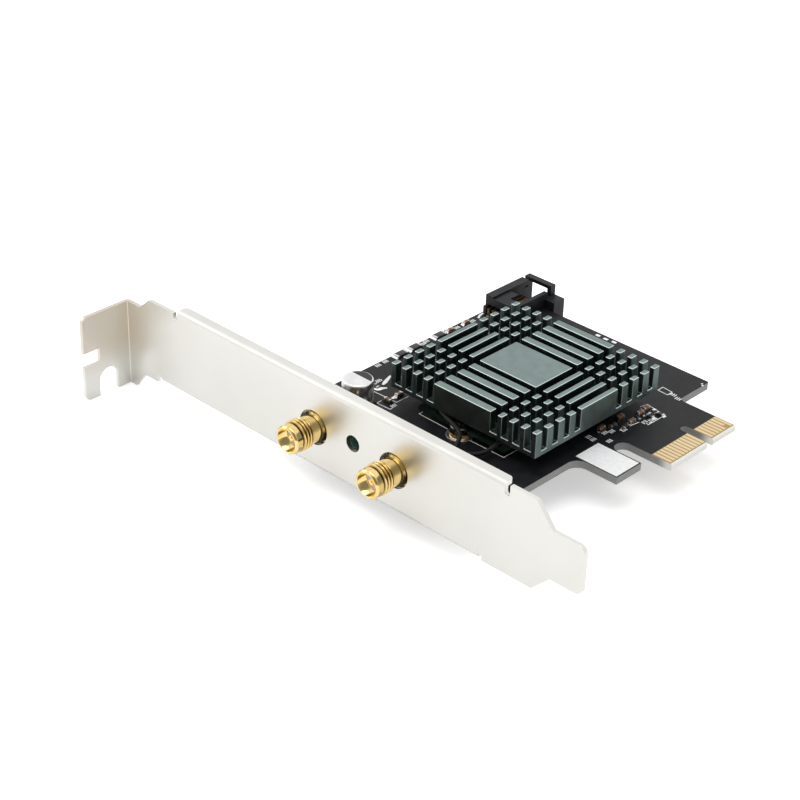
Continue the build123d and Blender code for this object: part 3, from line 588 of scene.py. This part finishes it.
# antenna jacks: a threaded barrel on the solid's own block, along Y from the bracket's face
jackSet = {
    "face": -56.2,
    "axisHeight": 4.3,
    "nose": -6.95,
    "rim": 5.1,
    "collar": 5.8,
    "slopeEnd": -6.5,
    "groove": (-5.35, -5.05, 5.1),
    "threadEnd": -2.35,
    "crest": 6.2,
    "root": 5.2,
    "pitch": 0.706,
    "runOut": 0.35,
    "neck": 5.5,
    "shoulder": (-0.05, 6.4),
    # the shoulder is painted lit round this angle, and the next value sets how fast painted shade takes over away
    # from it
    "shoulderLitAt": 1.0,  # radians round the axis
    "shoulderShadeFall": 1.6,
    "rear": 1.0,
    "socket": (4.6, 2.2),
    "socketLip": 0.06,
    "bore": 4.1,
    "around": 96,
    "fineStep": 0.055,
    "step": 0.15,
}


def barrelRadius(j, y, angle):
    grooveStart, threadStart, grooveWidth = j["groove"]
    if y < j["slopeEnd"]:
        share = (y - j["nose"]) / (j["slopeEnd"] - j["nose"])
        return (j["rim"] + (j["collar"] - j["rim"]) * math.sin(share * math.pi / 2)) / 2
    if y < grooveStart:
        return j["collar"] / 2
    if y < threadStart:
        return grooveWidth / 2
    if y < j["threadEnd"]:
        turn = ((y - threadStart) / j["pitch"] - angle / (2 * math.pi)) % 1.0
        ridge = min(1.0, max(0.0, 1.25 * (1 - abs(2 * turn - 1)) - 0.08))
        fade = min(1.0, (j["threadEnd"] - y) / j["runOut"])
        low = j["root"] + (j["neck"] - j["root"]) * (1 - fade)
        return (low + (j["crest"] - low) * ridge * fade) / 2
    if y < j["shoulder"][0]:
        return j["neck"] / 2
    return j["shoulder"][1] / 2


def barrelPaintedShade(j, y, angle, radius):
    # painted shade: how far a place lies down in the thread or the groove, and on the shoulder how far it turns
    # from the side that is painted lit
    if y > j["shoulder"][0] - 0.05:
        aside = min(abs(angle - j["shoulderLitAt"]), 1.0)
        return 1.0 - max(0.0, math.cos(j["shoulderShadeFall"] * aside))
    if y < j["groove"][0] or y > j["threadEnd"]:
        return 0.0
    depth = (j["crest"] / 2 - radius) / (j["crest"] - j["root"]) * 2
    return 0.95 * max(0.0, depth) * min(1.0, (j["threadEnd"] - y) / j["runOut"])


def jackRings(j):
    # places along the barrel, denser at the slope and the thread, doubled at the steps
    steps = [j["nose"]]
    while steps[-1] < j["rear"] - 1e-6:
        y = steps[-1]
        fine = y < j["slopeEnd"] or j["groove"][0] - 0.1 < y < j["threadEnd"] + 0.1
        steps.append(min(j["rear"], y + (j["fineStep"] if fine else j["step"])))
    for edge in (j["groove"][0], j["groove"][1], j["shoulder"][0]):
        steps += [edge - 0.004, edge + 0.004]
    return sorted(set(round(y, 4) for y in steps))


def makeJack(side):
    j = jackSet
    low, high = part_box(side + "_jack_body")
    axisX = (low.x + high.x) / 2
    axisZ = boardTop + j["axisHeight"] * mm
    face = j["face"] * mm
    shape = cleanCopy(side + "_jack_body")
    cut = bmesh.ops.bisect_plane(
        shape, geom=shape.verts[:] + shape.edges[:] + shape.faces[:], dist=0.001 * mm,
        plane_co=(0, face + j["rear"] * mm, 0), plane_no=(0, -1, 0), clear_outer=True)
    rim = [e for e in cut["geom_cut"] if isinstance(e, bmesh.types.BMEdge)]
    bmesh.ops.triangle_fill(shape, use_beauty=True, edges=rim, normal=(0, -1, 0))
    # painted shade per vertex for the gold finish: dark down in the thread and groove, and on the shoulder away
    # from its lit side
    paintedShade = shape.verts.layers.float.new("paintedShade")
    rings = []

    def ring(y, radiusAt, outside=False):
        loop = []
        for k in range(j["around"]):
            angle = 2 * math.pi * k / j["around"]
            radius = radiusAt(angle)
            r = radius * mm
            point = shape.verts.new((axisX + r * math.cos(angle), face + y * mm, axisZ + r * math.sin(angle)))
            point[paintedShade] = barrelPaintedShade(j, y, angle, radius) if outside else 0.0
            loop.append(point)
        rings.append(loop)

    wide, deep = j["socket"]
    seat = j["nose"] + deep
    inside = [
        (j["rear"], j["bore"] / 2), (seat, j["bore"] / 2), (seat, wide / 2),
        (j["nose"] + j["socketLip"], wide / 2), (j["nose"], wide / 2 + j["socketLip"]),
    ]
    for y, radius in inside:
        ring(y, lambda angle: radius)
    for y in jackRings(j):
        ring(y, lambda angle: barrelRadius(j, y, angle), True)
    faces = []
    for first, second in zip(rings, rings[1:] + rings[:1]):
        for k in range(j["around"]):
            n = (k + 1) % j["around"]
            faces.append(shape.faces.new((first[k], first[n], second[n], second[k])))
    bmesh.ops.recalc_face_normals(shape, faces=faces)
    mesh = meshFrom(shape, side + "JackBody")
    addPiece(side + "JackBody", mesh, finishes["gold"], [side + "_jack_body"], 28.0)


for side in ("left", "right"):
    makeJack(side)
print("jacks turned")


# one tree places copies of a small shape: chips, pads, solder, marks and rings
def makePlacer():
    tree = bpy.data.node_groups.new("placeCopies", "GeometryNodeTree")
    sockets = {}
    for socketName, kind in (
        ("Places", "NodeSocketGeometry"), ("Shape", "NodeSocketObject"),
        ("Size", "NodeSocketFloat"), ("Finish", "NodeSocketMaterial"),
    ):
        sockets[socketName] = tree.interface.new_socket(socketName, in_out="INPUT", socket_type=kind).identifier
    tree.interface.new_socket("Copies", in_out="OUTPUT", socket_type="NodeSocketGeometry")
    entry = tree.nodes.new("NodeGroupInput")
    leave = tree.nodes.new("NodeGroupOutput")
    source = tree.nodes.new("GeometryNodeObjectInfo")
    turn = tree.nodes.new("GeometryNodeInputNamedAttribute")
    turn.data_type = "FLOAT_VECTOR"
    turn.inputs["Name"].default_value = "turn"
    copy = tree.nodes.new("GeometryNodeInstanceOnPoints")
    real = tree.nodes.new("GeometryNodeRealizeInstances")
    paint = tree.nodes.new("GeometryNodeSetMaterial")
    link = tree.links.new
    link(entry.outputs["Shape"], source.inputs["Object"])
    link(entry.outputs["Places"], copy.inputs["Points"])
    link(source.outputs["Geometry"], copy.inputs["Instance"])
    link(turn.outputs["Attribute"], copy.inputs["Rotation"])
    link(entry.outputs["Size"], copy.inputs["Scale"])
    link(copy.outputs["Instances"], real.inputs["Geometry"])
    link(real.outputs["Geometry"], paint.inputs["Geometry"])
    link(entry.outputs["Finish"], paint.inputs["Material"])
    link(paint.outputs["Geometry"], leave.inputs["Copies"])
    return tree, sockets


placer, placerSockets = makePlacer()


def placeCopies(name, shapeMesh, places, finish, replaced=(), sharp=35.0, level=boardTop / mm):
    # places are (x, y, turn in degrees), in millimetres
    points = bpy.data.meshes.new(name + "Places")
    points.from_pydata([Vector((x, y, level)) * mm for x, y, turn in places], [], [])
    turns = points.attributes.new("turn", "FLOAT_VECTOR", "POINT")
    for item, place in zip(turns.data, places):
        item.vector = (0, 0, math.radians(place[2]))
    holder = bpy.data.objects.new(name + "Places", points)
    pattern = bpy.data.objects.new(name + "Shape", shapeMesh)
    for item in (holder, pattern):
        scene.collection.objects.link(item)
    modifier = holder.modifiers.new("copies", "NODES")
    modifier.node_group = placer
    modifier[placerSockets["Shape"]] = pattern
    modifier[placerSockets["Size"]] = 1.0
    modifier[placerSockets["Finish"]] = finish
    mesh = plainMesh(holder)
    bpy.data.objects.remove(pattern)
    mesh.name = name
    return addPiece(name, mesh, finish, replaced, sharp)


def boxShape(parts, edge=0.0):
    # eased boxes from (x0, x1, y0, y1, z0, z1), in millimetres
    shape = bmesh.new()
    for x0, x1, y0, y1, z0, z1 in parts:
        size = Matrix.Diagonal(((x1 - x0) * mm, (y1 - y0) * mm, (z1 - z0) * mm, 1))
        middle = Vector(((x0 + x1) / 2, (y0 + y1) / 2, (z0 + z1) / 2)) * mm
        bmesh.ops.create_cube(shape, size=1, matrix=Matrix.Translation(middle) @ size)
    if edge:
        bmesh.ops.bevel(
            shape, geom=shape.edges[:], offset=edge * mm, segments=2, profile=0.5,
            affect="EDGES", clamp_overlap=True)
    return meshFrom(shape, "boxShape")


def latheShape(profile, around=24):
    # a closed turned shape about Z from (radius, height), in millimetres
    shape = bmesh.new()
    rings = []
    for radius, height in profile:
        if radius == 0:
            rings.append([shape.verts.new((0, 0, height * mm))])
            continue
        angles = [2 * math.pi * k / around for k in range(around)]
        r = radius * mm
        rings.append([shape.verts.new((r * math.cos(a), r * math.sin(a), height * mm)) for a in angles])
    closed = len(rings[0]) > 1
    for first, second in zip(rings, rings[1:] + (rings[:1] if closed else [])):
        for k in range(around):
            n = (k + 1) % around
            corner = [first[i % len(first)] for i in (k, n)] + [second[i % len(second)] for i in (n, k)]
            shape.faces.new(list(dict.fromkeys(corner)))
    return meshFrom(shape, "latheShape", True)


# chip parts with plated ends and sloped solder, places as (x, y, turn)
chipSet = {
    "proud": 0.03,
    "solderReach": 0.36,
    "capacitor": {
        "size": (1.6, 0.8, 0.75, 0.32), "finish": "ceramic", "slot": "chip_brown", "node": "chip_capacitors",
        "places": [
            (-63.7, -4.4, 90), (-63.7, 0.6, 90), (-52.8, -31.0, 90), (-52.8, -34.1, 0), (-17.2, -11.9, 90),
            (-17.2, -6.0, 90), (-14.6, -5.7, 90), (-15.5, -2.0, 90), (-15.7, 0.2, 90),
        ],
    },
    "resistor": {
        "size": (1.6, 0.8, 0.45, 0.32), "finish": "resistor", "slot": "chip_black", "node": "chip_resistors",
        "places": [(-58.4, -31.9, 0), (-16.3, -9.4, 90), (-14.3, -7.9, 90), (-13.4, -1.5, 0), (-12.5, 0.6, 0)],
    },
    "largeResistor": {
        "size": (3.2, 1.6, 0.55, 0.5), "finish": "resistor", "slot": "chip_black", "node": "chip_resistors",
        "places": [(-63.9, -7.4, 90), (-63.9, -14.8, 90), (-63.9, -18.9, 90)],
    },
}


def solderShape(length, width, height):
    # sloped solder at both ends of a chip
    half = width / 2 + 0.04
    reach = chipSet["solderReach"]
    shape = bmesh.new()
    for s in (-1, 1):
        near = s * length / 2 * 0.98
        far = s * (length / 2 + reach)
        middle = s * (length / 2 + reach * 0.3)
        rows = [(near, 0.0), (far, 0.0), (far, 0.04), (middle, height * 0.32), (near, height * 0.72)]
        sides = [[shape.verts.new((x * mm, y * half * mm, z * mm)) for x, z in rows] for y in (-1, 1)]
        shape.faces.new(sides[0])
        shape.faces.new(sides[1][::-1])
        for k in range(len(rows)):
            n = (k + 1) % len(rows)
            shape.faces.new((sides[0][k], sides[0][n], sides[1][n], sides[1][k]))
    return meshFrom(shape, "solderShape", True)


def makeChips(kind):
    c = chipSet[kind]
    proud = chipSet["proud"]
    length, width, height, end = c["size"]
    inner = length / 2 - end
    half = width / 2
    body = boxShape([(-inner, inner, -half + proud, half - proud, 0, height)], 0.04)
    placeCopies(kind + "Bodies", body, c["places"], finishes[c["finish"]], [c["node"]])
    caps = ((-length / 2, -inner), (inner, length / 2))
    ends = boxShape([(*x, -half, half, 0, height + proud) for x in caps], 0.06)
    placeCopies(kind + "Ends", ends, c["places"], finishes["tin"], [c["node"]])
    placeCopies(kind + "Solder", solderShape(length, width, height), c["places"], finishes["solder"])


for kind in ("capacitor", "resistor", "largeResistor"):
    makeChips(kind)

# solder round the tails on the board's underside and at the header, and a run of solder by the left chips
jackX = [sum(b.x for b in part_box(side + "_jack_body")) / 2 / mm for side in ("left", "right")]
solderSet = {
    "postSide": 2.4,
    "posts": (-52.75, -48.89),
    "pin": -49.99,
    "lights": [(-41.77, -49.7), (-39.23, -49.7)],
    "headerTails": [(-62.725, 6.85), (-61.475, 6.85), (-60.225, 6.85), (-58.975, 6.85)],
    "largeCone": [(0.4, -0.75), (0.62, -0.55), (0.95, -0.18), (1.2, -0.03), (1.2, 0.0), (0.4, 0.0)],
    "smallCone": [(0.3, -0.7), (0.38, -0.45), (0.5, -0.14), (0.58, -0.03), (0.58, 0.0), (0.3, 0.0)],
    "ring": [(0.44, 0.0), (0.6, 0.0), (0.6, 0.04), (0.5, 0.07), (0.44, 0.07)],
    "runs": [
        [
            (-59.4, -26.6, 0.4), (-59.05, -27.5, 0.75), (-58.65, -28.6, 0.9), (-58.2, -29.6, 0.85),
            (-57.95, -30.3, 0.5),
        ],
        [
            (-58.2, -32.5, 0.6), (-57.95, -32.2, 1.2), (-57.45, -31.7, 1.35), (-57.0, -31.1, 0.75),
            (-56.5, -30.5, 0.35),
        ],
        [(-53.2, -32.65, 0.5), (-53.0, -32.25, 1.0), (-52.85, -31.8, 1.15), (-52.75, -31.2, 0.9)],
    ],
    "runHeight": 0.16,
    "runProfile": [(-0.5, 0.0), (-0.42, 0.55), (-0.22, 0.9), (0.0, 1.0), (0.22, 0.9), (0.42, 0.55), (0.5, 0.0)],
}


def addMound(shape, stations, height):
    # a low rounded ridge along (x, y, width) stations
    rows = []
    for i, (x, y, width) in enumerate(stations):
        before, after = stations[max(i - 1, 0)], stations[min(i + 1, len(stations) - 1)]
        along = (Vector(after[:2]) - Vector(before[:2])).normalized()
        across = Vector((-along.y, along.x)) * width
        rows.append([
            shape.verts.new(((x + s * across.x) * mm, (y + s * across.y) * mm, boardTop + h * height * mm))
            for s, h in solderSet["runProfile"]
        ])
    for first, second in zip(rows, rows[1:]):
        for k in range(len(first)):
            n = (k + 1) % len(first)
            shape.faces.new((first[k], first[n], second[n], second[k]))
    shape.faces.new(rows[0])
    shape.faces.new(rows[-1][::-1])


def makeSolder():
    s = solderSet
    under = boardUnder / mm
    posts = [(x + side * s["postSide"], y, 0) for x in jackX for side in (-1, 1) for y in s["posts"]]
    posts += [(x, s["pin"], 0) for x in jackX]
    placeCopies("jackSolder", latheShape(s["largeCone"]), posts, finishes["solder"], (), 60.0, under)
    tails = [(x, y, 0) for x, y in s["lights"] + s["headerTails"]]
    placeCopies("tailSolder", latheShape(s["smallCone"]), tails, finishes["solder"], (), 60.0, under)
    rings = [(x, y, 0) for x, y in s["headerTails"]]
    placeCopies("headerRings", latheShape(s["ring"]), rings, finishes["tin"])
    shape = bmesh.new()
    for stations in s["runs"]:
        addMound(shape, stations, s["runHeight"])
    addPiece("solderRuns", meshFrom(shape, "solderRuns", True), finishes["solder"], (), 60.0)


makeSolder()
print("chips and solder placed")

# white ink on the board, thinly raised: outlines, a patch on the hook, pads and plain marks
inkSet = {
    "height": 0.025,
    "line": 0.17,
    "lines": [
        [(-45.35, -29.0), (-45.38, -33.05), (-37.7, -33.2)],
        [(-32.0, -33.2), (-23.5, -33.1), (-23.5, -29.0)],
        [(-59.7, -28.8), (-59.45, -30.35), (-58.75, -32.2), (-57.7, -33.3), (-51.4, -33.1), (-51.4, -29.7)],
        [(-53.9, -34.8), (-53.9, -36.1), (-50.4, -35.9), (-50.7, -33.8)],
        [(-18.75, 8.0), (-18.75, 9.65), (-16.3, 9.4), (-16.25, 7.85), (-18.75, 8.0)],
        [(-17.2, 0.3), (-16.75, 2.0), (-11.8, 1.25), (-11.9, -3.95), (-13.2, -3.6)],
        [(-14.5, -9.6), (-14.15, -7.1), (-13.7, -4.5)],
    ],
    "thick": 0.5,
    "thickLines": [[(-63.6, 4.45), (-64.2, 5.6), (-64.4, 6.9), (-64.15, 7.95), (-63.3, 8.65), (-61.75, 9.2)]],
    "patch": (-14.4, -4.6, -22.95, -16.2),
    "bars": [(-41.3, 16.95, 1.1, 0.7), (-39.2, 16.9, 1.1, 0.7), (-37.15, 17.1, 1.1, 0.7)],
    "markBar": (0.24, 0.95),
    "markPitch": 0.48,
    "marks": [
        (-64.1, -25.3, 90), (-64.2, -23.1, 90), (-64.0, -12.2, 90), (-64.3, -10.9, 90), (-63.9, -1.9, 90),
        (-63.6, 2.6, 90), (-59.7, -29.6, 90), (-50.9, -34.4, 90), (-15.5, 8.75, 0), (-13.9, 8.2, 0),
        (-13.4, -14.1, 90), (-17.1, -15.8, 90), (-15.9, -15.9, 90), (-15.9, -12.4, 90), (-15.3, -11.0, 90),
        (-12.6, -2.1, 90), (-13.0, -3.7, 90), (-12.7, 0.9, 90), (-14.0, -8.9, 90),
    ],
    "dot": 0.22,
    "dots": [(-17.1, -6.8), (-16.9, -13.05), (-14.3, -6.95), (-14.1, 16.4), (-13.6, 15.9)],
    "padSize": (0.55, 0.8),
    "pads": [
        (-14.5, -3.5, 0), (-14.5, -1.9, 0), (-14.5, -0.4, 0), (-14.6, 1.4, 0), (-12.2, -3.0, 0), (-12.3, -1.2, 0),
    ],
}


def addStrip(shape, points, width, low, high):
    # a mitred flat line of ink
    flat = [Vector(p) for p in points]
    loop = (flat[0] - flat[-1]).length < 1e-6
    if loop:
        flat = flat[:-1]
    count = len(flat)
    left, right = [], []
    for i, here in enumerate(flat):
        before = flat[i - 1] if i or loop else None
        after = flat[(i + 1) % count] if i < count - 1 or loop else None
        runIn = (here - before).normalized() if before is not None else (after - here).normalized()
        runOut = (after - here).normalized() if after is not None else runIn
        along = (runIn + runOut).normalized()
        across = Vector((-along.y, along.x))
        reach = width / 2 / max(0.4, across.dot(Vector((-runIn.y, runIn.x))))
        left.append(here + across * reach)
        right.append(here - across * reach)
    leftLow, leftHigh, rightLow, rightHigh = (
        [shape.verts.new((p.x * mm, p.y * mm, z)) for p in row] for row in (left, right) for z in (low, high))
    for i in range(count if loop else count - 1):
        n = (i + 1) % count
        shape.faces.new((leftHigh[i], leftHigh[n], rightHigh[n], rightHigh[i]))
        shape.faces.new((leftLow[i], rightLow[i], rightLow[n], leftLow[n]))
        shape.faces.new((leftLow[i], leftLow[n], leftHigh[n], leftHigh[i]))
        shape.faces.new((rightLow[i], rightHigh[i], rightHigh[n], rightLow[n]))
    if not loop:
        for i in (0, count - 1):
            shape.faces.new((leftLow[i], leftHigh[i], rightHigh[i], rightLow[i]))


def makeInk():
    p = inkSet
    low = boardTop
    high = boardTop + p["height"] * mm
    shape = bmesh.new()
    for points in p["lines"]:
        addStrip(shape, points, p["line"], low, high)
    for points in p["thickLines"]:
        addStrip(shape, points, p["thick"], low, high)
    x0, x1, y0, y1 = p["patch"]
    addStrip(shape, [(x0, (y0 + y1) / 2), (x1, (y0 + y1) / 2)], y1 - y0, low, high)
    for x, y, length, width in p["bars"]:
        addStrip(shape, [(x - length / 2, y), (x + length / 2, y)], width, low, high)
    addPiece("boardInk", meshFrom(shape, "boardInk", True), finishes["ink"])
    wide, tall = p["markBar"]
    bars = [(k * p["markPitch"] - wide / 2, k * p["markPitch"] + wide / 2) for k in (-1, 0, 1)]
    mark = boxShape([(*x, -tall / 2, tall / 2, 0, p["height"]) for x in bars])
    placeCopies("inkMarks", mark, p["marks"], finishes["ink"])
    dot = latheShape([(0, 0.0), (p["dot"], 0.0), (p["dot"], p["height"]), (0, p["height"])], 12)
    placeCopies("inkDots", dot, [(x, y, 0) for x, y in p["dots"]], finishes["ink"])
    length, width = p["padSize"]
    pad = boxShape([(-length / 2, length / 2, -width / 2, width / 2, 0, 0.06)], 0.025)
    placeCopies("barePads", pad, p["pads"], finishes["solder"])


makeInk()
print("ink laid")

# floor, backdrop light and lamps
stageSet = {
    "floor": 6.0,
    "floorColour": 0.9,
    "floorLift": 0.5,
    "mirrorLift": 0.2,
    "bright": 1.0,
    "zenith": 0.9,
    "dim": 0.25,
    "dimToward": (0.62, -0.62, 0.48),
    "lamps": [
        ("overhead", (-0.05, -0.12, 0.7), (-0.03, -0.02, 0.0), 0.6, 1.55),
        ("side", (-0.6, -0.25, 0.3), (-0.03, -0.02, 0.0), 0.4, 0.5),
    ],
}


def rayMask(tree, *rays):
    # 1 for the kinds of ray that are named
    source = tree.nodes.new("ShaderNodeLightPath").outputs
    mask = source[rays[0]]
    for ray in rays[1:]:
        mask = mathNode(tree, "MAXIMUM", mask, source[ray])
    return mask


def makeFloor(s):
    half = s["floor"] / 2
    level = cadLow.z - 0.02 * mm
    mesh = bpy.data.meshes.new("floor")
    corner = [(-half, -half, level), (half, -half, level), (half, half, level), (-half, half, level)]
    mesh.from_pydata(corner, [], [(0, 1, 2, 3)])
    floor = bpy.data.objects.new("floor", mesh)
    scene.collection.objects.link(floor)
    paper, tree, shader = newFinish("palePaper", 0.0, 0.0)
    base = s["floorColour"]
    mottle(tree, shader, (base - 0.01,) * 3, (base + 0.01,) * 3, 0.8, 0.9, 20.0, 900.0)
    glancing = rayMask(tree, "Is Glossy Ray", "Is Transmission Ray")
    mirrored = mixColour(tree, glancing, (0, 0, 0), (s["mirrorLift"],) * 3)
    lift = mixColour(tree, rayMask(tree, "Is Camera Ray"), mirrored, (s["floorLift"],) * 3)
    tree.links.new(lift, shader.inputs["Emission Color"])
    shader.inputs["Emission Strength"].default_value = 1.0
    mesh.materials.append(paper)


def makeWorld(s):
    world = bpy.data.worlds.new("studio")
    world.use_nodes = True
    tree = world.node_tree
    sky = tree.nodes["Background"]
    direction = tree.nodes.new("ShaderNodeTexCoord").outputs["Generated"]
    place = tree.nodes.new("ShaderNodeSeparateXYZ")
    tree.links.new(direction, place.inputs["Vector"])
    rise = rangeNode(tree, place.outputs["Z"], 0.72, 0.97)
    toward = tree.nodes.new("ShaderNodeVectorMath")
    toward.operation = "DOT_PRODUCT"
    toward.inputs[1].default_value = Vector(s["dimToward"]).normalized()
    tree.links.new(direction, toward.inputs[0])
    away = rangeNode(tree, toward.outputs["Value"], 0.6, 0.95)
    walls = mixColour(tree, rise, (s["bright"],) * 3, (s["zenith"],) * 3)
    room = mixColour(tree, away, walls, (s["dim"],) * 3)
    seen = rayMask(tree, "Is Camera Ray")
    tree.links.new(mixColour(tree, seen, room, (1, 1, 1)), sky.inputs["Color"])
    scene.world = world


def makeLamps(s):
    for name, place, aim, size, power in s["lamps"]:
        data = bpy.data.lights.new(name, "AREA")
        data.shape = "DISK"
        data.size = size
        data.energy = power
        lamp = bpy.data.objects.new(name, data)
        lamp.location = place
        lamp.rotation_mode = "QUATERNION"
        lamp.rotation_quaternion = (Vector(aim) - Vector(place)).to_track_quat("-Z", "Y")
        scene.collection.objects.link(lamp)


makeFloor(stageSet)
makeWorld(stageSet)
makeLamps(stageSet)
scene.view_settings.view_transform = "Standard"
print("stage set")
